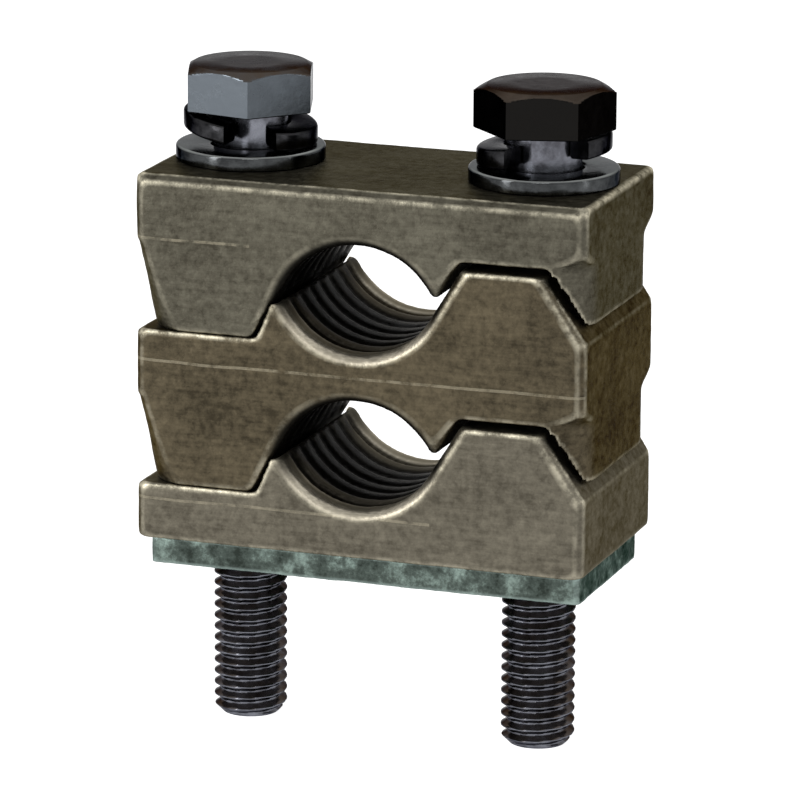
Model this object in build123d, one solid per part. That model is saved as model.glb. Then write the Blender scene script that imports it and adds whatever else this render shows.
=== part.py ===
from build123d import *
import math
import os

# Double parallel groove clamp: three stacked castings that grip two conductors, one above
# the other, between two hexagon bolts which screw into a tapped plate underneath.
# Millimetres. +Z up, conductors lie along Y, bolts stand at X = -/+ half the spacing.
# The origin is midway between the two bolts, level with their lower ends.

# ---- castings: overall block
BLOCK_WIDTH = 50.2
BLOCK_DEPTH = 24.4
UPPER_HEIGHT = 16.8         # foot plane to top face of the upper casting
TIER_PITCH = 16.8           # foot plane of one casting to the foot plane of the next
LOWER_HEIGHT = 6.2          # shelf to underside of the lower casting
RIM = 0.8                   # how far the edges fall away at the front and back faces
EDGE_ROUND = 0.6            # cast edge rounding on the outlines
CORNER_SHARE = 0.3          # most of an edge's length that one rounded corner may use
SERRATION_COUNT = 7         # shallow cast rings across each groove arc
SERRATION_PITCH = 2.9
SERRATION_WIDTH = 1.2
SERRATION_DEPTH = 0.35

# ---- conductor grooves; at the mouth each arc runs between two angles from the vertical
GROOVE_RADIUS = 9.3
GROOVE_X = -0.2
ROOF_CENTRE_RISE = 1.45     # roof arc centre above the foot plane
FLOOR_CENTRE_RISE = 8.3     # floor arc centre above the shelf
ROOF_FOOT_ANGLE = 63.8
ROOF_TIP_ANGLE = 57.3
FLOOR_RIDGE_ANGLE = 63.0
FLOOR_TOWER_ANGLE = 65.6

# ---- foot, recess and prong under the upper and middle castings
FOOT_LEAN = 2.6             # how far the foot's inner slope runs out below the roof arc
FOOT_INSET = 1.05           # foot's outer side, in from the block's side
SIDE_TAPER_TOP = 9.6        # height above the foot plane where the outer side starts to taper
SIDE_TAPER_END = 4.6
RECESS_RISE = 10.0          # recess ceiling above the foot plane
RECESS_LEAN = 2.9           # how far the recess's left slope leans over from the roof's tip
PRONG_TIP_WIDTH = 0.7
PRONG_LEAN = 2.85           # how far the prong's inner slope leans over its height
PRONG_TIP_RISE = 3.7        # prong tip above the foot plane

# ---- ridge and tower on top of the middle and lower castings
NEST_GAP = 0.45             # between the foot's inner slope and the ridge
RIDGE_RISE = 4.2
RIDGE_TOP_WIDTH = 0.7       # between the groove floor's edge and the ridge's outer slope
TOWER_RISE = 9.2
TOWER_INNER_LEAN = 3.1      # how far the tower's inner slope leans over above the floor arc
TOWER_OUTER_LEAN = 4.75     # the same of its outer slope, in from the block's side
TOWER_SHOULDER_RISE = 2.2   # where the tower's outer slope meets the block's side

# ---- corner reliefs on the foot and the prong
RELIEF_RADIUS = 5.0
FOOT_RELIEF_TOP = 9.6       # height above the foot plane where the foot's corners are square
FOOT_RELIEF_FULL = 0.0      # and where they reach their full radius
PRONG_RELIEF_TOP = 12.0
PRONG_RELIEF_FULL = 10.2

# ---- backing plate
PLATE_WIDTH = 48.3
PLATE_DEPTH = 20.6
PLATE_THICKNESS = 3.25
PLATE_CORNER = 0.8

# ---- bolts, M8, their thread drawn plain at its crest diameter
BOLT_SPACING = 32.9
BOLT_DIAMETER = 8.0
BOLT_LENGTH = 67.0
THREAD_END_CHAMFER = 0.9
HEAD_FLATS = 13.0
HEAD_HEIGHT = 4.8
HEAD_CHAMFER_ANGLE = 28.0
HEAD_DISC = 0.93            # diameter of the flat top disc over the width across flats
BOLT_HOLE = 8.4             # clearance hole in the castings
THREAD_CLEARANCE = 0.05     # between thread crest and tapped hole, on the radius
HEAD_TURN_LEFT = 48.1       # resting turn of a corner away from +X
HEAD_TURN_RIGHT = 15.5

# ---- washers
FLAT_WASHER_OUTER = 16.0
FLAT_WASHER_INNER = 8.4
FLAT_WASHER_THICKNESS = 1.6
SPRING_WASHER_OUTER = 14.4
SPRING_WASHER_INNER = 8.3
SPRING_WASHER_THICKNESS = 2.0
SPRING_WASHER_SPLIT = 9.0   # angle of the gap between its ends, degrees
SPRING_FREE_HEIGHT = 3.9    # with its ends sprung apart
SPLIT_TURN_LEFT = 65.0     # where each split lies, from +X, counter-clockwise
SPLIT_TURN_RIGHT = -5.0

# ---- heights worked out from the above
MOUTH_RADIUS = GROOVE_RADIUS + RIM
FOOT_INNER_X = GROOVE_X - MOUTH_RADIUS * math.sin(math.radians(ROOF_FOOT_ANGLE)) - FOOT_LEAN
WASHER_STACK = BOLT_LENGTH - (UPPER_HEIGHT + TIER_PITCH + LOWER_HEIGHT) - PLATE_THICKNESS
STUD_LENGTH = WASHER_STACK - FLAT_WASHER_THICKNESS - SPRING_FREE_HEIGHT   # below the plate
PLATE_Z = STUD_LENGTH
LOWER_Z = PLATE_Z + PLATE_THICKNESS
SHELF_LOW_Z = LOWER_Z + LOWER_HEIGHT
SHELF_MID_Z = SHELF_LOW_Z + TIER_PITCH
TOP_Z = SHELF_MID_Z + UPPER_HEIGHT
SPRING_Z = TOP_Z + FLAT_WASHER_THICKNESS
HEAD_Z = SPRING_Z + SPRING_FREE_HEIGHT
BOLT_X = {"left": -BOLT_SPACING / 2, "right": BOLT_SPACING / 2}


def groove_end(angle, radius):
    """Where an arc of this radius stops, from its centre: level with the mouth's own end."""
    rise = MOUTH_RADIUS * math.cos(math.radians(angle))
    return math.sqrt(radius ** 2 - rise ** 2), rise


def underside(foot_z, inset):
    """Foot, groove roof, recess and prong, from left to right, as edges in X and Z."""
    radius = GROOVE_RADIUS + inset
    half = BLOCK_WIDTH / 2 - inset
    foot_outer = FOOT_INSET - half
    centre_z = foot_z + ROOF_CENTRE_RISE
    reach, rise = groove_end(ROOF_FOOT_ANGLE, radius)
    start = (GROOVE_X - reach, centre_z + rise)
    crown = (GROOVE_X, centre_z + radius)
    reach = MOUTH_RADIUS * math.sin(math.radians(ROOF_TIP_ANGLE))
    tip = (GROOVE_X + reach, centre_z + math.sqrt(radius ** 2 - reach ** 2))
    prong_tip = (half - PRONG_TIP_WIDTH, foot_z + PRONG_TIP_RISE)
    recess_left = (tip[0] + RECESS_LEAN, foot_z + RECESS_RISE)
    recess_right = (prong_tip[0] - PRONG_LEAN, foot_z + RECESS_RISE)
    return [
        Line((foot_outer, foot_z), (FOOT_INNER_X, foot_z)),
        Line((FOOT_INNER_X, foot_z), start),
        ThreePointArc(start, crown, tip),
        Line(tip, recess_left),
        Line(recess_left, recess_right),
        Line(recess_right, prong_tip),
        Line(prong_tip, (half, foot_z + PRONG_TIP_RISE)),
    ]


def upper_side(shelf_z, inset):
    """Shelf, ridge, groove floor and tower, from right to left, as edges in X and Z."""
    radius = GROOVE_RADIUS + inset
    half = BLOCK_WIDTH / 2 - inset
    centre_z = shelf_z + FLOOR_CENTRE_RISE
    reach, rise = groove_end(FLOOR_TOWER_ANGLE, radius)
    end = (GROOVE_X + reach, centre_z - rise)
    low = (GROOVE_X, centre_z - radius)
    reach, rise = groove_end(FLOOR_RIDGE_ANGLE, radius)
    start = (GROOVE_X - reach, centre_z - rise)
    ridge_base = FOOT_INNER_X + NEST_GAP
    ridge_top = (start[0] - RIDGE_TOP_WIDTH, shelf_z + RIDGE_RISE)
    tower_left = (end[0] + TOWER_INNER_LEAN, shelf_z + TOWER_RISE)
    tower_right = (half - TOWER_OUTER_LEAN, shelf_z + TOWER_RISE)
    return [
        Line((half, shelf_z + TOWER_SHOULDER_RISE), tower_right),
        Line(tower_right, tower_left),
        Line(tower_left, end),
        ThreePointArc(end, low, start),
        Line(start, ridge_top),
        Line(ridge_top, (ridge_base, shelf_z)),
        Line((ridge_base, shelf_z), (-half, shelf_z)),
    ]


def outer_sides(foot_z, top_left_z, top_right_z, inset):
    """The block's two outer sides; the left one tapers in towards the foot."""
    half = BLOCK_WIDTH / 2 - inset
    foot_outer = FOOT_INSET - half
    return [
        Line((half, foot_z + PRONG_TIP_RISE), (half, top_right_z)),
        Line((-half, top_left_z), (-half, foot_z + SIDE_TAPER_TOP)),
        Line((-half, foot_z + SIDE_TAPER_TOP), (foot_outer, foot_z + SIDE_TAPER_END)),
        Line((foot_outer, foot_z + SIDE_TAPER_END), (foot_outer, foot_z)),
    ]


def cast_block(outline):
    """A block along the conductors, its edges falling away towards the front and back faces."""
    body, end = rounded_face(outline(0)), rounded_face(outline(RIM))
    core = extrude(Plane.XZ * body, BLOCK_DEPTH / 2 - RIM, both=True)
    rim = loft([Plane.XZ.offset(BLOCK_DEPTH / 2 - RIM) * body, Plane.XZ.offset(BLOCK_DEPTH / 2) * end],
               ruled=True)
    return core + rim + mirror(rim, Plane.XZ)


def rounded_face(edges):
    """A closed outline in X and Z, rounded at its corners."""
    face = make_face(edges)
    for point in [Vector(v) for v in face.vertices()]:
        corner = face.vertices().sort_by_distance(point)[0]
        pair = [e for e in face.edges() if corner in e.vertices()]
        if corner_turn(pair, corner) > 20:
            shorter = min(edge.length for edge in pair)
            face = fillet(corner, min(EDGE_ROUND, CORNER_SHARE * shorter))
    return face


def corner_turn(pair, vertex):
    """How sharply the outline turns between the two edges that meet at a vertex, in degrees."""
    tangents = []
    for edge in pair:
        at_start = (edge.position_at(0) - Vector(vertex)).length < 1e-6
        tangents.append(edge.tangent_at(0) if at_start else edge.tangent_at(1) * -1)
    return 180 - tangents[0].get_angle(tangents[1])


def corner_relief(corner_x, foot_z, top, full):
    """Cutter for a vertical corner: a full round low down, fading out to square at the top."""
    inward = -math.copysign(RELIEF_RADIUS, corner_x)
    centre_x = corner_x + inward
    centre_y = BLOCK_DEPTH / 2 - RELIEF_RADIUS
    low = foot_z - 1
    corner = Pos(corner_x, BLOCK_DEPTH / 2, (low + foot_z + top) / 2) * Box(
        2 * RELIEF_RADIUS, 2 * RELIEF_RADIUS, foot_z + top - low)
    post = Pos(centre_x, centre_y, (low + foot_z + full) / 2) * Cylinder(
        RELIEF_RADIUS, foot_z + full - low)
    fade = Pos(centre_x, centre_y, foot_z + (full + top) / 2) * Cone(
        RELIEF_RADIUS, RELIEF_RADIUS * math.sqrt(2), top - full)
    return corner - post - fade


def relieve_corners(block, foot_z):
    """Round the corners of foot and prong, front and back."""
    half = BLOCK_WIDTH / 2
    for cutter in (corner_relief(FOOT_INSET - half, foot_z, FOOT_RELIEF_TOP, FOOT_RELIEF_FULL),
                   corner_relief(half, foot_z, PRONG_RELIEF_TOP, PRONG_RELIEF_FULL)):
        block = block - cutter - mirror(cutter, Plane.XZ)
    return block


def serrate(block, centre_z):
    """Shallow rings across a groove arc, side by side along the conductor."""
    ring = Cylinder(GROOVE_RADIUS + SERRATION_DEPTH, SERRATION_WIDTH, rotation=(90, 0, 0))
    middle = (SERRATION_COUNT - 1) / 2
    rings = [Pos(GROOVE_X, (i - middle) * SERRATION_PITCH, centre_z) * ring
             for i in range(SERRATION_COUNT)]
    return block - rings


def bore(block, diameter, low, high):
    """Both bolt holes through a block."""
    for x in BOLT_X.values():
        block -= Pos(x, 0, (low + high) / 2) * Cylinder(diameter / 2, high - low + 2)
    return block


def build_upper_casting():
    def outline(inset):
        half, top = BLOCK_WIDTH / 2 - inset, TOP_Z - inset
        return (underside(SHELF_MID_Z, inset) + outer_sides(SHELF_MID_Z, top, top, inset)
                + [Line((half, top), (-half, top))])

    block = cast_block(outline)
    block = relieve_corners(block, SHELF_MID_Z)
    block = serrate(block, SHELF_MID_Z + ROOF_CENTRE_RISE)
    return bore(block, BOLT_HOLE, SHELF_MID_Z, TOP_Z)


def build_middle_casting():
    def outline(inset):
        sides = outer_sides(SHELF_LOW_Z, SHELF_MID_Z, SHELF_MID_Z + TOWER_SHOULDER_RISE, inset)
        return underside(SHELF_LOW_Z, inset) + upper_side(SHELF_MID_Z, inset) + sides

    block = cast_block(outline)
    block = relieve_corners(block, SHELF_LOW_Z)
    block = serrate(block, SHELF_LOW_Z + ROOF_CENTRE_RISE)
    block = serrate(block, SHELF_MID_Z + FLOOR_CENTRE_RISE)
    return bore(block, BOLT_HOLE, SHELF_LOW_Z, SHELF_MID_Z + TOWER_RISE)


def build_lower_casting():
    def outline(inset):
        half = BLOCK_WIDTH / 2 - inset
        return upper_side(SHELF_LOW_Z, inset) + [
            Line((-half, SHELF_LOW_Z), (-half, LOWER_Z)),
            Line((-half, LOWER_Z), (half, LOWER_Z)),
            Line((half, LOWER_Z), (half, SHELF_LOW_Z + TOWER_SHOULDER_RISE)),
        ]

    block = cast_block(outline)
    block = serrate(block, SHELF_LOW_Z + FLOOR_CENTRE_RISE)
    return bore(block, BOLT_HOLE, LOWER_Z, SHELF_LOW_Z + TOWER_RISE)


def build_backing_plate():
    outline = RectangleRounded(PLATE_WIDTH, PLATE_DEPTH, PLATE_CORNER)
    plate = extrude(Pos(0, 0, PLATE_Z) * outline, PLATE_THICKNESS)
    return bore(plate, BOLT_DIAMETER + 2 * THREAD_CLEARANCE, PLATE_Z, LOWER_Z)


def build_bolt(side, turn):
    """Hexagon head with a chamfered top, plain shank and chamfered threaded end."""
    x = BOLT_X[side]
    head = extrude(Pos(0, 0, HEAD_Z) * RegularPolygon(HEAD_FLATS / 2, 6, major_radius=False),
                   HEAD_HEIGHT)
    disc = HEAD_FLATS * HEAD_DISC / 2
    fall = math.tan(math.radians(HEAD_CHAMFER_ANGLE))
    reach = HEAD_FLATS
    dome = revolve(Plane.XZ * make_face(Polyline(
        (0, HEAD_Z - 1), (reach, HEAD_Z - 1),
        (reach, HEAD_Z + HEAD_HEIGHT - (reach - disc) * fall),
        (disc, HEAD_Z + HEAD_HEIGHT), (0, HEAD_Z + HEAD_HEIGHT), close=True)), Axis.Z)
    head = (head & dome).rotate(Axis.Z, turn)
    shank = BOLT_DIAMETER / 2
    stem = revolve(Plane.XZ * make_face(Polyline(
        (0, HEAD_Z), (shank, HEAD_Z), (shank, THREAD_END_CHAMFER),
        (shank - THREAD_END_CHAMFER, 0), (0, 0), close=True)), Axis.Z)
    return Pos(x, 0, 0) * (head + stem)


def build_flat_washer(side):
    ring = Circle(FLAT_WASHER_OUTER / 2) - Circle(FLAT_WASHER_INNER / 2)
    return extrude(Pos(BOLT_X[side], 0, TOP_Z) * ring, FLAT_WASHER_THICKNESS)


def build_spring_washer(side, split_turn):
    """One turn of square-edged wire, its right-hand end sprung up under the bolt head."""
    width = (SPRING_WASHER_OUTER - SPRING_WASHER_INNER) / 2
    radius = SPRING_WASHER_INNER / 2 + width / 2
    climb = SPRING_FREE_HEIGHT - SPRING_WASHER_THICKNESS
    turn_share = 1 - SPRING_WASHER_SPLIT / 360
    path = Helix(pitch=climb / turn_share, height=climb, radius=radius, lefthand=True)
    section = Plane(origin=path @ 0, x_dir=(1, 0, 0), z_dir=path % 0) * Rectangle(
        width, SPRING_WASHER_THICKNESS)
    ring = sweep(section, path, is_frenet=True)
    ring = ring.rotate(Axis.Z, split_turn)
    lift = SPRING_Z - ring.bounding_box().min.Z
    return Pos(BOLT_X[side], 0, lift) * ring


def write_parts():
    parts = {
        "upper_casting": build_upper_casting(),
        "middle_casting": build_middle_casting(),
        "lower_casting": build_lower_casting(),
        "backing_plate": build_backing_plate(),
        "bolt_left": build_bolt("left", HEAD_TURN_LEFT),
        "bolt_right": build_bolt("right", HEAD_TURN_RIGHT),
        "flat_washer_left": build_flat_washer("left"),
        "flat_washer_right": build_flat_washer("right"),
        "spring_washer_left": build_spring_washer("left", SPLIT_TURN_LEFT),
        "spring_washer_right": build_spring_washer("right", SPLIT_TURN_RIGHT),
    }
    os.makedirs("parts", exist_ok=True)
    for name, solid in parts.items():
        solid.label = name
        export_step(solid, f"parts/{name}.step")


write_parts()
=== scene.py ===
import math

import bmesh
import bpy
from mathutils import Matrix, Vector, noise


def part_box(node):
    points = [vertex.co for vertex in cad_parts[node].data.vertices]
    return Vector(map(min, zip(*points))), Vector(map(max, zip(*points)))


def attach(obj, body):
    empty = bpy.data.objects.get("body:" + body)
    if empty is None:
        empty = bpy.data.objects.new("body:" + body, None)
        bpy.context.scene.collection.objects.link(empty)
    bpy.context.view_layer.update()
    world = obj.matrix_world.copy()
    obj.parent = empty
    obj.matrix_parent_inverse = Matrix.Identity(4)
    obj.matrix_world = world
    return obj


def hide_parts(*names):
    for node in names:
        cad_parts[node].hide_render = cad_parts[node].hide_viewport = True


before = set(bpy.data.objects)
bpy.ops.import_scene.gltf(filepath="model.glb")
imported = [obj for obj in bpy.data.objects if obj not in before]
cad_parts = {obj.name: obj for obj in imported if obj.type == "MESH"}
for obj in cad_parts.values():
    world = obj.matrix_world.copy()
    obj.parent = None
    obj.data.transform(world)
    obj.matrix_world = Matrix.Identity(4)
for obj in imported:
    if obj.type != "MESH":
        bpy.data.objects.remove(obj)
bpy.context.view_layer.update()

# ---- Camera and studio
# A long lens from the front right, a little above the clamp. The studio is white all round,
# with soft lamps that draw narrow lights on the bolts.

MM = 0.001
LOOK_AT = Vector((0.58, 0.0, 36.25)) * MM
VIEW_TURN = math.radians(19.44)
VIEW_TILT = math.radians(14.35)
VIEW_ROLL = math.radians(0.35)
VIEW_DISTANCE = 650.8 * MM
LENS = 274.4
SENSOR = 36.0

towards = Vector((math.sin(VIEW_TURN) * math.cos(VIEW_TILT),
                  -math.cos(VIEW_TURN) * math.cos(VIEW_TILT),
                  math.sin(VIEW_TILT)))
camera_data = bpy.data.cameras.new("camera")
camera_data.lens = LENS
camera_data.sensor_width = SENSOR
camera = bpy.data.objects.new("camera", camera_data)
bpy.context.scene.collection.objects.link(camera)
turn = towards.to_track_quat("Z", "Y").to_matrix().to_4x4()
camera.matrix_world = (Matrix.Translation(LOOK_AT + towards * VIEW_DISTANCE)
                       @ turn @ Matrix.Rotation(VIEW_ROLL, 4, "Z"))
bpy.context.scene.camera = camera
bpy.context.scene.view_settings.view_transform = "Standard"


def linear(code):
    """An sRGB hex colour, such as #ffffff, as linear RGBA."""
    channels = [int(code[i:i + 2], 16) / 255 for i in (1, 3, 5)]
    return [c / 12.92 if c <= 0.04045 else ((c + 0.055) / 1.055) ** 2.4 for c in channels] + [1.0]


def add(tree, kind, inputs=None, **settings):
    """One shader node with its settings and its inputs, by name or number.

    An input takes a number, a colour, another node's socket, or a node for its first output.
    """
    node = tree.nodes.new(kind)
    for name, value in settings.items():
        setattr(node, name, value)
    for name, value in (inputs or {}).items():
        if isinstance(value, bpy.types.Node):
            value = value.outputs[0]
        if isinstance(value, bpy.types.NodeSocket):
            tree.links.new(value, node.inputs[name])
        else:
            node.inputs[name].default_value = value
    return node


def new_material(name):
    """A material with an empty node tree, and that tree."""
    material = bpy.data.materials.new(name)
    material.use_nodes = True
    material.node_tree.nodes.clear()
    return material, material.node_tree


def seen_directly(tree):
    """1 for rays from the camera, and for those that a mirror or glass sends on, else 0."""
    ray = add(tree, "ShaderNodeLightPath")
    first = add(tree, "ShaderNodeMath",
                {0: ray.outputs["Is Camera Ray"], 1: ray.outputs["Is Glossy Ray"]},
                operation="MAXIMUM")
    return add(tree, "ShaderNodeMath", {0: first, 1: ray.outputs["Is Transmission Ray"]},
               operation="MAXIMUM")


# The studio is seen and mirrored as plain white, and lights the clamp with a third of that.
FILL_LIGHT = 0.35

world = bpy.data.worlds.new("studio")
bpy.context.scene.world = world
world.use_nodes = True
sky = world.node_tree
sky.nodes.clear()
fill = add(sky, "ShaderNodeBackground", {"Color": linear("#ffffff"), "Strength": FILL_LIGHT})
white = add(sky, "ShaderNodeBackground", {"Color": linear("#ffffff"), "Strength": 1.0})
both = add(sky, "ShaderNodeMixShader", {0: seen_directly(sky), 1: fill, 2: white})
add(sky, "ShaderNodeOutputWorld", {"Surface": both})


def lamp(name, place, size, power):
    """A soft rectangular lamp aimed at the middle of the clamp; place and size in millimetres."""
    data = bpy.data.lights.new(name, "AREA")
    data.shape = "RECTANGLE"
    data.size, data.size_y = size[0] * MM, size[1] * MM
    data.energy = power
    light = bpy.data.objects.new(name, data)
    light.location = Vector(place) * MM
    light.rotation_euler = (LOOK_AT - light.location).to_track_quat("-Z", "Y").to_euler()
    bpy.context.scene.collection.objects.link(light)


lamp("key_lamp", (-330, -400, 210), (120, 380), 1.3)
lamp("side_lamp", (520, -60, 150), (40, 360), 0.16)
lamp("front_top_lamp", (120, -480, 420), (240, 60), 0.35)

# A matt white paper sweep. Its own glow, seen but not lighting anything, brings it up to the
# white behind it and leaves the clamp's shadow on it.
FLOOR_REACH = 3000.0 * MM
FLOOR_GLOW = 0.9

floor_mesh = bpy.data.meshes.new("floor")
bm = bmesh.new()
bmesh.ops.create_grid(bm, x_segments=1, y_segments=1, size=FLOOR_REACH)
bm.to_mesh(floor_mesh)
bm.free()
floor = bpy.data.objects.new("floor", floor_mesh)
bpy.context.scene.collection.objects.link(floor)
paper, tree = new_material("white paper sweep")
sheet = add(tree, "ShaderNodeBsdfDiffuse", {"Color": linear("#f4f4f4")})
glow = add(tree, "ShaderNodeEmission", {"Color": linear("#ffffff"), "Strength": FLOOR_GLOW})
both = add(tree, "ShaderNodeAddShader", {0: sheet, 1: glow})
pick = add(tree, "ShaderNodeMixShader", {0: seen_directly(tree), 1: sheet, 2: both})
add(tree, "ShaderNodeOutputMaterial", {"Surface": pick})
floor_mesh.materials.append(paper)


# ---- Castings
# Three blocks cast in tinned brass, nested one on the other. Their skin is a fine sand grain,
# the outer edges are rubbed bright with a painted highlight over the wear, and painted shade
# darkens the inner corners and the conductor grooves.

CAST_SKIN_GRAIN = 0.3 * MM
CAST_SWELL = 4.0 * MM
CAST_GRIT = 0.045 * MM

# Each groove is two arcs, the casting above its roof and the one below its floor, each about
# its own centre. Painted shade darkens the grooves, and the front of each floor has a painted
# highlight on its ring crests.
GROOVE_X = -0.2 * MM
GROOVE_REACH = 10.0 * MM
GROOVE_BLUR = 0.3 * MM
TOP_ROOF_CENTRE = 46.15 * MM
TOP_FLOOR_CENTRE = 53.0 * MM
LOW_ROOF_CENTRE = 29.35 * MM
LOW_FLOOR_CENTRE = 36.2 * MM
LIT_FLOOR_ACROSS = (5.5 * MM, 10.5 * MM)
LIT_FLOOR_DEPTH = (4.0 * MM, 7.0 * MM)

# Moulding sand is finer than SAND_WIDTH, which is as fine as still shows.
CLOUD_WIDTH = 8.0 * MM
MOTTLE_WIDTH = 1.1 * MM
SAND_WIDTH = 0.4 * MM
NICK_LENGTH = 1.9 * MM
STREAK_HEIGHT = 0.45 * MM
STREAK_STRETCH = (0.12, 0.5, 1.0)
PIT_DEPTH = 0.08 * MM

# The mould's halves met in a wavering line, which shows on the front and back faces alone.
SEAM_WAVE = 11.0 * MM
SEAM_WANDER = 0.5 * MM
SEAM_HALF_HEIGHT = 0.16 * MM
SEAM_FACE = 11.4 * MM
SEAM_PROUD = 0.12 * MM

# The pale edge colour is wear with a painted highlight; the corner colour and the groove colour are
# painted shade; the crest colour is a painted highlight.
RUBBED_EDGE_AND_HIGHLIGHT = "#cfc8b2"
CORNER_SHADE = "#1a1711"
SEAM_METAL = "#a59d88"
CREST_HIGHLIGHT = "#dcd3bf"
GROOVE_SHADE = "#090806"


def finish_piece(mesh, name, body, material, replaced):
    """Puts a finished mesh in the scene as a piece that stands for its CAD node."""
    mesh.name = name
    mesh.materials.clear()
    mesh.materials.append(material)
    for face in mesh.polygons:
        face.use_smooth = True
    piece = bpy.data.objects.new(name, mesh)
    bpy.context.scene.collection.objects.link(piece)
    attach(piece, body)
    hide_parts(replaced)
    return piece


def skin(node, grain, swell, grit):
    """A fine closed skin over a CAD node, its edges softened and its faces a little uneven.

    grain is the skin's mesh width, swell the width of its unevenness and grit half its depth.
    Each point keeps how sharply the skin turns there as the attribute edge: above zero on
    outer edges, below zero in corners.
    """
    merge_within = 0.001 * MM
    smoothings = 3
    # Finer lumps ride on the broad ones, at these shares of their width and height.
    fine_width, fine_share = 0.2, 0.4
    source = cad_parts[node].copy()
    source.data = source.data.copy()
    bpy.context.scene.collection.objects.link(source)
    bm = bmesh.new()
    bm.from_mesh(source.data)
    bmesh.ops.remove_doubles(bm, verts=bm.verts, dist=merge_within)
    bm.to_mesh(source.data)
    bm.free()
    remesh = source.modifiers.new("skin", "REMESH")
    remesh.mode = "VOXEL"
    remesh.voxel_size = grain
    bpy.context.view_layer.update()
    shape = source.evaluated_get(bpy.context.evaluated_depsgraph_get())
    mesh = bpy.data.meshes.new_from_object(shape)
    bpy.data.objects.remove(source)

    bm = bmesh.new()
    bm.from_mesh(mesh)
    for _ in range(smoothings):
        bmesh.ops.smooth_vert(bm, verts=bm.verts, factor=0.5,
                              use_axis_x=True, use_axis_y=True, use_axis_z=True)
    bm.normal_update()
    bend = []
    for vert in bm.verts:
        angles = [edge.calc_face_angle_signed(0.0) for edge in vert.link_edges]
        bend.append(sum(angles) / max(len(angles), 1))
    bend = [(value + sum(bend[edge.other_vert(vert).index] for edge in vert.link_edges))
            / (1 + len(vert.link_edges)) for vert, value in zip(bm.verts, bend)]
    # The unevenness is set inwards, so that the skin stays within the casting's size.
    for vert in bm.verts:
        spot = vert.co
        lumps = noise.noise(spot / swell) + noise.noise(spot / (swell * fine_width)) * fine_share
        vert.co = spot + vert.normal * (lumps - 1.0) * grit
    layer = bm.verts.layers.float.new("edge")
    for vert, value in zip(bm.verts, bend):
        vert[layer] = value
    bm.to_mesh(mesh)
    bm.free()
    return mesh


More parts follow.
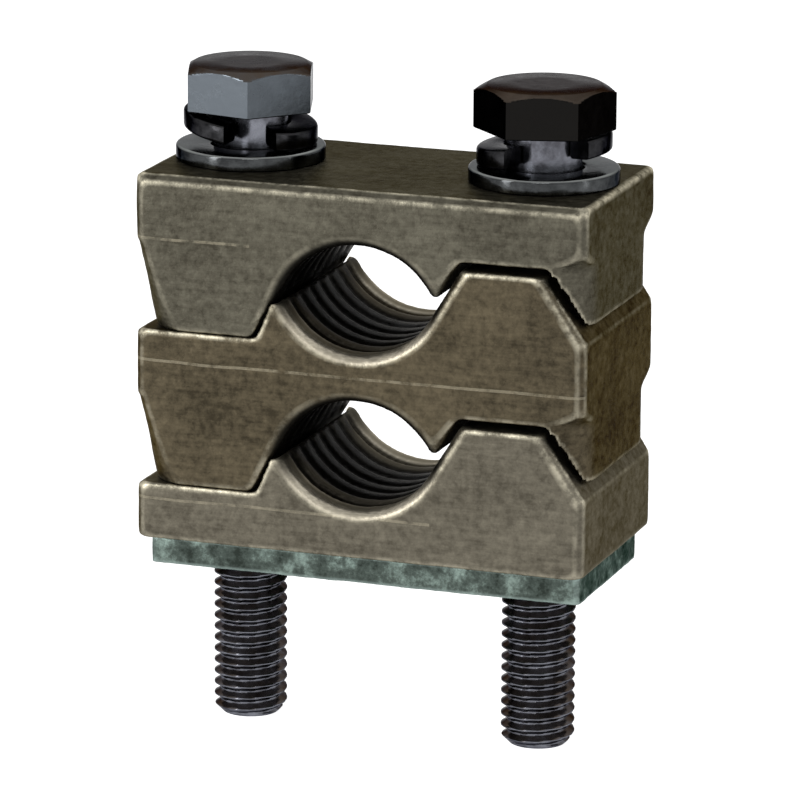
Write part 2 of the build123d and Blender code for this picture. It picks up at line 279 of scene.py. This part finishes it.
def tinned_brass(name, dark, light, seam_height, seam_end, grooves):
    """Tin over sand-cast brass: a dull warm grey metal, faintly mottled, with pale edges from wear and
    a painted highlight.

    The mould's parting leaves a faint raised line across front and back at seam_height, as far
    as seam_end. grooves gives each groove's centre height; painted shade darkens its rings, except
    at the mouths of its floor, where a painted highlight lies on the ring crests.
    """
    material, tree = new_material(name)
    spot = add(tree, "ShaderNodeTexCoord").outputs["Object"]
    edge = add(tree, "ShaderNodeAttribute", attribute_name="edge").outputs["Fac"]
    axes = add(tree, "ShaderNodeSeparateXYZ", {"Vector": spot})
    across = add(tree, "ShaderNodeMath", {0: axes.outputs["Y"]}, operation="ABSOLUTE")
    facing = add(tree, "ShaderNodeNewGeometry").outputs["Normal"]
    upward = add(tree, "ShaderNodeSeparateXYZ", {"Vector": facing}).outputs["Z"]

    clouds = add(tree, "ShaderNodeTexNoise",
                 {"Vector": spot, "Scale": 1 / CLOUD_WIDTH, "Detail": 3.0, "Roughness": 0.5})
    mottle = add(tree, "ShaderNodeTexNoise",
                 {"Vector": spot, "Scale": 1 / MOTTLE_WIDTH, "Detail": 5.0, "Roughness": 0.65})
    sand = add(tree, "ShaderNodeTexNoise",
               {"Vector": spot, "Scale": 1 / SAND_WIDTH, "Detail": 2.0, "Roughness": 0.6})
    nicks = add(tree, "ShaderNodeTexNoise",
                {"Vector": spot, "Scale": 1 / NICK_LENGTH, "Detail": 4.0, "Roughness": 0.7})
    level = add(tree, "ShaderNodeMapping", {"Vector": spot, "Scale": STREAK_STRETCH})
    streaks = add(tree, "ShaderNodeTexNoise",
                  {"Vector": level, "Scale": 1 / STREAK_HEIGHT, "Detail": 3.0, "Roughness": 0.6})

    shade = add(tree, "ShaderNodeMath", {0: clouds, 1: 0.6, 2: mottle}, operation="MULTIPLY_ADD")
    shade = add(tree, "ShaderNodeMath", {0: streaks, 1: 0.5, 2: shade}, operation="MULTIPLY_ADD")
    shade = add(tree, "ShaderNodeMath", {0: sand, 1: 0.3, 2: shade}, operation="MULTIPLY_ADD")
    shade = add(tree, "ShaderNodeMapRange", {"Value": shade, "From Min": 0.95, "From Max": 1.45})
    tint = add(tree, "ShaderNodeMix", {0: shade, 6: linear(dark), 7: linear(light)}, data_type="RGBA")

    wear_and_highlight = add(tree, "ShaderNodeMapRange",
               {"Value": edge, "From Min": 0.06, "From Max": 0.20, "To Max": 1.0})
    patchy = add(tree, "ShaderNodeMapRange",
                 {"Value": nicks, "From Min": 0.38, "From Max": 0.60, "To Min": 0.15})
    # Painted highlight: upward-facing edges are painted brighter, as if lit from above.
    lit_from_above = add(tree, "ShaderNodeMapRange",
                 {"Value": upward, "From Min": -0.15, "From Max": 0.35, "To Min": 0.3})
    wear_and_highlight = add(tree, "ShaderNodeMath", {0: wear_and_highlight, 1: patchy}, operation="MULTIPLY")
    wear_and_highlight = add(tree, "ShaderNodeMath", {0: wear_and_highlight, 1: lit_from_above}, operation="MULTIPLY")
    rubbed_and_lit = add(tree, "ShaderNodeMix", {0: wear_and_highlight, 6: tint.outputs[2], 7: linear(RUBBED_EDGE_AND_HIGHLIGHT)},
                 data_type="RGBA")
    # Painted shade: inner corners, where the skin turns inwards, are darkened.
    corner = add(tree, "ShaderNodeMapRange",
                 {"Value": edge, "From Min": -0.03, "From Max": -0.20, "To Max": 0.85})
    corner_shaded = add(tree, "ShaderNodeMix", {0: corner, 6: rubbed_and_lit.outputs[2], 7: linear(CORNER_SHADE)},
                data_type="RGBA")

    wave = add(tree, "ShaderNodeTexNoise", {"Vector": spot, "Scale": 1 / SEAM_WAVE, "Detail": 2.0})
    height = add(tree, "ShaderNodeMath", {0: wave, 1: SEAM_WANDER, 2: axes.outputs["Z"]},
                 operation="MULTIPLY_ADD")
    seam = add(tree, "ShaderNodeMath",
               {0: height, 1: seam_height + SEAM_WANDER / 2, 2: SEAM_HALF_HEIGHT},
               operation="COMPARE")
    broken = add(tree, "ShaderNodeMapRange",
                 {"Value": nicks, "From Min": 0.36, "From Max": 0.56, "To Max": 0.3})
    outer = add(tree, "ShaderNodeMath", {0: across, 1: SEAM_FACE}, operation="GREATER_THAN")
    ended = add(tree, "ShaderNodeMath", {0: axes.outputs["X"], 1: seam_end}, operation="LESS_THAN")
    for share in (broken, outer, ended):
        seam = add(tree, "ShaderNodeMath", {0: seam, 1: share}, operation="MULTIPLY")
    seamed = add(tree, "ShaderNodeMix", {0: seam, 6: corner_shaded.outputs[2], 7: linear(SEAM_METAL)},
                 data_type="RGBA")

    colour, groove_shade = seamed, None
    # Painted shade inside each groove; a painted highlight on the ring crests at the front of its
    # floor, where the shade is lifted.
    for rise in grooves:
        centre = add(tree, "ShaderNodeCombineXYZ",
                     {"X": GROOVE_X, "Y": axes.outputs["Y"], "Z": rise})
        reach = add(tree, "ShaderNodeVectorMath", {0: spot, 1: centre}, operation="DISTANCE")
        inside = add(tree, "ShaderNodeMapRange",
                     {"Value": reach.outputs["Value"], "From Min": GROOVE_REACH + GROOVE_BLUR,
                      "From Max": GROOVE_REACH - GROOVE_BLUR})
        mouth = add(tree, "ShaderNodeMapRange",
                    {"Value": across, "From Min": LIT_FLOOR_ACROSS[0], "From Max": LIT_FLOOR_ACROSS[1]})
        low = add(tree, "ShaderNodeMapRange",
                  {"Value": axes.outputs["Z"], "From Min": rise - LIT_FLOOR_DEPTH[0],
                   "From Max": rise - LIT_FLOOR_DEPTH[1]})
        lit_floor = add(tree, "ShaderNodeMath", {0: mouth, 1: low}, operation="MULTIPLY")
        crest = add(tree, "ShaderNodeMapRange", {"Value": edge, "From Min": -0.05, "From Max": 0.12})
        crest_glint = add(tree, "ShaderNodeMath", {0: lit_floor, 1: crest}, operation="MULTIPLY")
        crest_glint = add(tree, "ShaderNodeMath", {0: crest_glint, 1: inside}, operation="MULTIPLY")
        colour = add(tree, "ShaderNodeMix", {0: crest_glint, 6: colour.outputs[2], 7: linear(CREST_HIGHLIGHT)},
                     data_type="RGBA")
        shade_kept = add(tree, "ShaderNodeMath", {0: lit_floor, 1: -0.8, 2: 0.95}, operation="MULTIPLY_ADD")
        groove_darkening = add(tree, "ShaderNodeMath", {0: inside, 1: shade_kept}, operation="MULTIPLY")
        groove_shade = groove_darkening if groove_shade is None else add(
            tree, "ShaderNodeMath", {0: groove_shade, 1: groove_darkening}, operation="MAXIMUM")
    colour = add(tree, "ShaderNodeMix", {0: groove_shade, 6: colour.outputs[2], 7: linear(GROOVE_SHADE)},
                 data_type="RGBA")

    gloss = add(tree, "ShaderNodeMapRange",
                {"Value": mottle, "From Min": 0.3, "From Max": 0.7, "To Min": 0.36, "To Max": 0.5})
    grain = add(tree, "ShaderNodeMath", {0: sand, 1: mottle}, operation="ADD")
    pits = add(tree, "ShaderNodeBump", {"Height": grain, "Strength": 0.5, "Distance": PIT_DEPTH})
    ridge = add(tree, "ShaderNodeBump",
                {"Height": seam, "Normal": pits, "Strength": 0.6, "Distance": SEAM_PROUD})
    # The painted groove shade is made less metallic. The tint dulls what faces mirror at a shallow
    # angle.
    metal_share = add(tree, "ShaderNodeMapRange", {"Value": groove_shade, "To Min": 1.0, "To Max": 0.7})
    metal = add(tree, "ShaderNodeBsdfPrincipled",
                {"Base Color": colour.outputs[2], "Roughness": gloss, "Normal": ridge,
                 "Metallic": metal_share, "Specular Tint": linear("#a4a19a")})
    add(tree, "ShaderNodeOutputMaterial", {"Surface": metal})
    return material


for tier, body, dark, light, seam_height, seam_end, grooves in (
        ("upper", "top", "#39362e", "#5b584d", 54.6 * MM, -12.0 * MM,
         (TOP_ROOF_CENTRE,)),
        ("middle", "middle", "#332e24", "#585040", 41.4 * MM, 30.0 * MM,
         (TOP_FLOOR_CENTRE, LOW_ROOF_CENTRE)),
        ("lower", "base", "#47433a", "#6a6559", 26.3 * MM, 8.2 * MM,
         (LOW_FLOOR_CENTRE,))):
    node = tier + "_casting"
    brass = tinned_brass("tinned brass, " + tier, dark, light, seam_height, seam_end, grooves)
    mesh = skin(node, grain=CAST_SKIN_GRAIN, swell=CAST_SWELL, grit=CAST_GRIT)
    finish_piece(mesh, node + "_cast", body, brass, node)


# ---- Backing plate
# A strip of steel sheared to length, drilled and tapped, then zinc plated. The sheared
# edges are torn and take the plating in dark and bluish patches.

PLATE_SKIN_GRAIN = 0.28 * MM
PLATE_SWELL = 1.6 * MM
PLATE_GRIT = 0.06 * MM
PATCH_WIDTH = 2.4 * MM
TEAR_WIDTH = 1.1 * MM
TEAR_DEPTH = 0.25 * MM

# Bright zinc over torn steel: half dull, in cloudy blue-green patches, paler along the edges.
zinc, tree = new_material("zinc plated sheared steel")
spot = add(tree, "ShaderNodeTexCoord").outputs["Object"]
edge = add(tree, "ShaderNodeAttribute", attribute_name="edge").outputs["Fac"]
patches = add(tree, "ShaderNodeTexNoise",
              {"Vector": spot, "Scale": 1 / PATCH_WIDTH, "Detail": 5.0, "Roughness": 0.72})
shade = add(tree, "ShaderNodeMapRange", {"Value": patches, "From Min": 0.36, "From Max": 0.66})
tint = add(tree, "ShaderNodeValToRGB", {"Fac": shade})
tint.color_ramp.elements[0].color = linear("#2a302c")
tint.color_ramp.elements[1].color = linear("#76857e")
middle = tint.color_ramp.elements.new(0.5)
middle.color = linear("#48514c")
rub = add(tree, "ShaderNodeMapRange",
          {"Value": edge, "From Min": 0.08, "From Max": 0.25, "To Max": 0.5})
colour = add(tree, "ShaderNodeMix", {0: rub, 6: tint, 7: linear("#9fb0ab")}, data_type="RGBA")
tear = add(tree, "ShaderNodeTexNoise", {"Vector": spot, "Scale": 1 / TEAR_WIDTH, "Detail": 4.0})
rough = add(tree, "ShaderNodeBump", {"Height": tear, "Strength": 0.6, "Distance": TEAR_DEPTH})
metal = add(tree, "ShaderNodeBsdfPrincipled",
            {"Base Color": colour.outputs[2], "Normal": rough, "Metallic": 1.0, "Roughness": 0.38,
             "Specular Tint": linear("#a0a6a4")})
add(tree, "ShaderNodeOutputMaterial", {"Surface": metal})
mesh = skin("backing_plate", grain=PLATE_SKIN_GRAIN, swell=PLATE_SWELL, grit=PLATE_GRIT)
finish_piece(mesh, "backing_plate_sheared", "base", zinc, "backing_plate")


# ---- Bolts
# Hexagon-head M8 steel bolts, forged, with a rolled thread, zinc plated; their steel is painted
# dark, a painted reflection of dark surroundings. The head's top is chamfered all round, and the
# threaded end stands out below the plate.

THREAD_PITCH = 1.25 * MM
THREAD_DEPTH = 0.7 * MM
THREAD_TOP = 22.0 * MM
CREST_SHARE = 0.14
FLANK_SHARE = 0.74
ROOT_ROUNDING = 1.25
END_CHAMFER = 0.9 * MM
SHANK_RADIUS = 4.0 * MM
CREST_RADIUS = 3.96 * MM
HEAD_FLATS = 13.0 * MM
HEAD_CORNER = HEAD_FLATS / 2 / math.cos(math.pi / 6)
DISC_SHARE = 0.93
HEAD_DISC = HEAD_FLATS * DISC_SHARE / 2
CHAMFER_ANGLE = 28
HEAD_FALL = math.tan(math.radians(CHAMFER_ANGLE))
EDGE_BREAK = 0.12 * MM
CONE_RINGS = 14
ROUND_STEPS = 96
RINGS_PER_PITCH = 12
SHARP_TURN = math.radians(32)


def lathe(profile, steps=ROUND_STEPS):
    """A closed turned shape about Z from a profile of (radius, height)."""
    merge_within = 0.0001 * MM
    bm = bmesh.new()
    verts = [bm.verts.new((radius, 0.0, height)) for radius, height in profile]
    edges = [bm.edges.new(pair) for pair in zip(verts, verts[1:])]
    bmesh.ops.spin(bm, geom=verts + edges, cent=(0, 0, 0), axis=(0, 0, 1), angle=math.tau,
                   steps=steps, use_merge=True)
    bmesh.ops.remove_doubles(bm, verts=bm.verts, dist=merge_within)
    bmesh.ops.recalc_face_normals(bm, faces=bm.faces)
    return bm


def hexagon_reach(angle):
    """Distance from the axis to a hexagon's side in the direction angle; a corner is at zero."""
    within = (angle + math.pi / 6) % (math.pi / 3) - math.pi / 6
    return HEAD_FLATS / 2 / math.cos(math.pi / 6 - abs(within))


def thread_cut(height, angle):
    """How deep the thread is cut at a point: flat crests, straight flanks, rounded roots."""
    phase = (height / THREAD_PITCH - angle / math.tau) % 1.0
    flank = min(phase, 1.0 - phase) * 2
    depth = min(max((flank - CREST_SHARE) / FLANK_SHARE, 0.0), 1.0)
    return THREAD_DEPTH * (1 - (1 - depth) ** ROOT_ROUNDING)


def hex_bolt(node, head_under, corner_turn):
    """Head, shank and thread turned in one piece, the head then flattened to a hexagon."""
    low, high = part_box(node)
    axis_x = (low.x + high.x) / 2
    top, fall = high.z, (HEAD_CORNER - HEAD_DISC) * HEAD_FALL
    profile = [(0.0, top), (HEAD_DISC / 2, top), (HEAD_DISC, top)]
    profile += [(HEAD_DISC + (HEAD_CORNER - HEAD_DISC) * i / CONE_RINGS, top - fall * i / CONE_RINGS)
                for i in range(1, CONE_RINGS + 1)]
    profile += [(HEAD_CORNER, (top - fall + head_under) / 2),
                (HEAD_CORNER, head_under + EDGE_BREAK),
                (HEAD_CORNER - EDGE_BREAK, head_under), (SHANK_RADIUS, head_under)]
    thread_run = THREAD_TOP + THREAD_PITCH
    rings = round(thread_run / THREAD_PITCH * RINGS_PER_PITCH)
    profile += [(SHANK_RADIUS, thread_run)]
    profile += [(CREST_RADIUS, thread_run * (1 - i / rings)) for i in range(1, rings)]
    profile += [(CREST_RADIUS - END_CHAMFER, low.z), (0.0, low.z)]
    bm = lathe(profile)

    # Each point is drawn in to the hexagon's sides, or to the thread and its chamfered end. The
    # thread runs out over its last two turns.
    inner_share, runout = 0.9, 2 * THREAD_PITCH
    for vert in bm.verts:
        radius, angle = math.hypot(vert.co.x, vert.co.y), math.atan2(vert.co.y, vert.co.x)
        height = vert.co.z
        wanted = radius
        if height >= head_under and radius > HEAD_DISC * inner_share:
            wanted = min(radius, hexagon_reach(angle))
            if height < head_under + EDGE_BREAK / 2:
                wanted = min(radius, hexagon_reach(angle) - EDGE_BREAK)
        elif height < thread_run and radius > CREST_RADIUS * inner_share:
            fade = min((thread_run - height) / runout, 1.0)
            wanted = radius - thread_cut(height, angle) * fade
            wanted = min(wanted, CREST_RADIUS - END_CHAMFER + height)
        if radius > 0:
            vert.co.x *= wanted / radius
            vert.co.y *= wanted / radius
    head = [vert for vert in bm.verts if vert.co.z >= head_under - 0.001 * MM]
    bmesh.ops.rotate(bm, verts=head, cent=(0, 0, 0), matrix=Matrix.Rotation(corner_turn, 3, "Z"))
    bmesh.ops.translate(bm, verts=bm.verts, vec=(axis_x, 0, 0))
    mesh = bpy.data.meshes.new(node)
    bm.to_mesh(mesh)
    bm.free()
    return mesh


SMUDGE_WIDTH = 2.6 * MM
SCUFF_WIDTH = 0.7 * MM
SCUFF_DEPTH = 0.08 * MM
TONE_BLUR = 0.1 * MM


def plated_steel(name, dark, light, smooth, dull, top_colour, head_under=None, head=None):
    """Zinc plated steel: smooth enough to mirror the lamps, a little smudged.

    dark and light are its smudges' colours, smooth and dull their roughness. Its flat tops
    take top_colour, which on the flat washers is a painted reflection. Above head_under a bolt's
    head takes its own tone, head, a painted reflection.
    """
    material, tree = new_material(name)
    spot = add(tree, "ShaderNodeTexCoord").outputs["Object"]
    facing = add(tree, "ShaderNodeNewGeometry").outputs["Normal"]
    upward = add(tree, "ShaderNodeSeparateXYZ", {"Vector": facing}).outputs["Z"]
    smudge = add(tree, "ShaderNodeTexNoise",
                 {"Vector": spot, "Scale": 1 / SMUDGE_WIDTH, "Detail": 5.0, "Roughness": 0.7})
    shade = add(tree, "ShaderNodeMapRange", {"Value": smudge, "From Min": 0.34, "From Max": 0.68})
    colour = add(tree, "ShaderNodeMix", {0: shade, 6: linear(dark), 7: linear(light)}, data_type="RGBA")
    # A bolt head's own tone is a painted reflection of its surroundings.
    if head:
        height = add(tree, "ShaderNodeSeparateXYZ", {"Vector": spot}).outputs["Z"]
        on_head = add(tree, "ShaderNodeMapRange", {
            "Value": height, "From Min": head_under - TONE_BLUR, "From Max": head_under + TONE_BLUR})
        colour = add(tree, "ShaderNodeMix", {0: on_head, 6: colour.outputs[2], 7: linear(head)},
                     data_type="RGBA")
    on_top = add(tree, "ShaderNodeMapRange", {"Value": upward, "From Min": 0.35, "From Max": 0.8})
    wear_and_highlight = add(tree, "ShaderNodeMapRange",
               {"Value": smudge, "From Min": 0.35, "From Max": 0.60, "To Min": 1.0, "To Max": 0.7})
    on_top = add(tree, "ShaderNodeMath", {0: on_top, 1: wear_and_highlight}, operation="MULTIPLY")
    colour = add(tree, "ShaderNodeMix", {0: on_top, 6: colour.outputs[2], 7: linear(top_colour)},
                 data_type="RGBA")
    gloss = add(tree, "ShaderNodeMapRange",
                {"Value": smudge, "From Min": 0.3, "From Max": 0.7, "To Min": smooth, "To Max": dull})
    scuffs = add(tree, "ShaderNodeTexNoise", {"Vector": spot, "Scale": 1 / SCUFF_WIDTH, "Detail": 2.0})
    rough = add(tree, "ShaderNodeBump", {"Height": scuffs, "Strength": 0.15, "Distance": SCUFF_DEPTH})
    metal = add(tree, "ShaderNodeBsdfPrincipled",
                {"Base Color": colour.outputs[2], "Roughness": gloss, "Normal": rough,
                 "Metallic": 1.0, "Specular Tint": linear("#9a9a9c")})
    add(tree, "ShaderNodeOutputMaterial", {"Surface": metal})
    return material


# The heads' tones are painted reflection: the left head is painted grey as if mirroring a lamp,
# the right one nearly black as if mirroring dark surroundings. Both tops are browned.
for side, corner_turn, head in (("left", 48.1, "#50555a"), ("right", 15.5, "#181716")):
    node = "bolt_" + side
    head_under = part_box("spring_washer_" + side)[1].z
    # The bolt steel's dark colours are a painted reflection of dark surroundings.
    bolt_steel = plated_steel("zinc plated bolt steel, " + side, "#45454a", "#787a82", 0.16, 0.30,
                              "#4a423b", head_under, head)
    mesh = hex_bolt(node, head_under, math.radians(corner_turn))
    piece = finish_piece(mesh, node + "_threaded", side + "_screw", bolt_steel, node)
    piece.data.set_sharp_from_angle(angle=SHARP_TURN)


# ---- Flat washers
# Punched from steel strip and plated: the upper rim is rounded by the punch, the lower one
# keeps a sharp break.

PUNCH_ROUND = 0.35 * MM
UNDER_BREAK = 0.1 * MM
HOLE_RADIUS = 4.2 * MM
WASHER_STEPS = 128

# Smooth zinc over rolled strip: it mirrors sharply. Its colours are painted reflection: the flat
# top is painted bright as if mirroring white, and the rim dark as if mirroring dark surroundings.
WASHER_STEEL = plated_steel("zinc plated washer steel", "#2a2b2c", "#4c4e4f", 0.10, 0.22, "#8f9290")

for side in ("left", "right"):
    node = "flat_washer_" + side
    low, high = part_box(node)
    centre = (low + high) / 2
    outer, inner, under, top = (high.x - low.x) / 2, HOLE_RADIUS, low.z, high.z
    quarter = [math.radians(angle) for angle in (0, 22.5, 45, 67.5, 90)]
    rim = [(outer - PUNCH_ROUND * (1 - math.cos(turn)), top - PUNCH_ROUND * (1 - math.sin(turn)))
           for turn in quarter]
    lip = [(inner + PUNCH_ROUND * (1 - math.cos(turn)), top - PUNCH_ROUND * (1 - math.sin(turn)))
           for turn in reversed(quarter)]
    foot = [(inner, under), (outer - UNDER_BREAK, under), (outer, under + UNDER_BREAK)]
    bm = lathe(foot + rim + lip + [(inner, under)], steps=WASHER_STEPS)
    bmesh.ops.translate(bm, verts=bm.verts, vec=(centre.x, centre.y, 0))
    mesh = bpy.data.meshes.new(node)
    bm.to_mesh(mesh)
    bm.free()
    piece = finish_piece(mesh, node + "_punched", "top", WASHER_STEEL, node)
    piece.data.set_sharp_from_angle(angle=SHARP_TURN)


# ---- Spring washers
# Square-edged spring wire bent round the bolt and left open in front. The bolts are not yet
# tight, so each ring lies aslant, one side up against the head and the other on the washer.

WIRE_HEIGHT = 2.0 * MM
WIRE_ROUND = 0.35 * MM
RING_INNER = 4.2 * MM
RING_OUTER = 7.15 * MM
RING_STEPS = 120

# Hardened wire, blackened: nearly as dark on top as round its rim, with soft dull lights.
SPRING_STEEL = plated_steel("blackened spring steel", "#161617", "#3a3a3c", 0.14, 0.26, "#2b2b2b")

for side, opening, first_end, high_side in (("left", 46, -47, -1), ("right", 76, -32, 1)):
    node = "spring_washer_" + side
    low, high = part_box(node)
    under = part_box("flat_washer_" + side)
    bm = bmesh.new()
    corners = [bm.verts.new((reach, 0.0, rise))
               for reach, rise in ((RING_INNER, 0.0), (RING_OUTER, 0.0),
                                   (RING_OUTER, WIRE_HEIGHT), (RING_INNER, WIRE_HEIGHT))]
    bm.faces.new(corners)
    bmesh.ops.bevel(bm, geom=corners, offset=WIRE_ROUND, segments=3, profile=0.5,
                    affect="VERTICES", material=-1)
    bmesh.ops.delete(bm, geom=list(bm.faces), context="FACES_ONLY")
    bmesh.ops.spin(bm, geom=list(bm.verts) + list(bm.edges), cent=(0, 0, 0), axis=(0, 0, 1),
                   angle=math.radians(360 - opening), steps=RING_STEPS)
    bmesh.ops.holes_fill(bm, edges=[edge for edge in bm.edges if edge.is_boundary], sides=0)
    bmesh.ops.recalc_face_normals(bm, faces=bm.faces)
    bmesh.ops.rotate(bm, verts=bm.verts, cent=(0, 0, 0),
                     matrix=Matrix.Rotation(math.radians(first_end), 3, "Z"))
    play = high.z - low.z - WIRE_HEIGHT
    aslant = Matrix.Identity(4)
    aslant[2][0] = high_side * play / (2 * RING_OUTER)
    bmesh.ops.transform(bm, matrix=aslant, verts=bm.verts)
    bmesh.ops.translate(bm, verts=bm.verts, vec=((under[0].x + under[1].x) / 2, 0, low.z + play / 2))
    mesh = bpy.data.meshes.new(node)
    bm.to_mesh(mesh)
    bm.free()
    piece = finish_piece(mesh, node + "_coiled", "top", SPRING_STEEL, node)
    piece.data.set_sharp_from_angle(angle=SHARP_TURN)
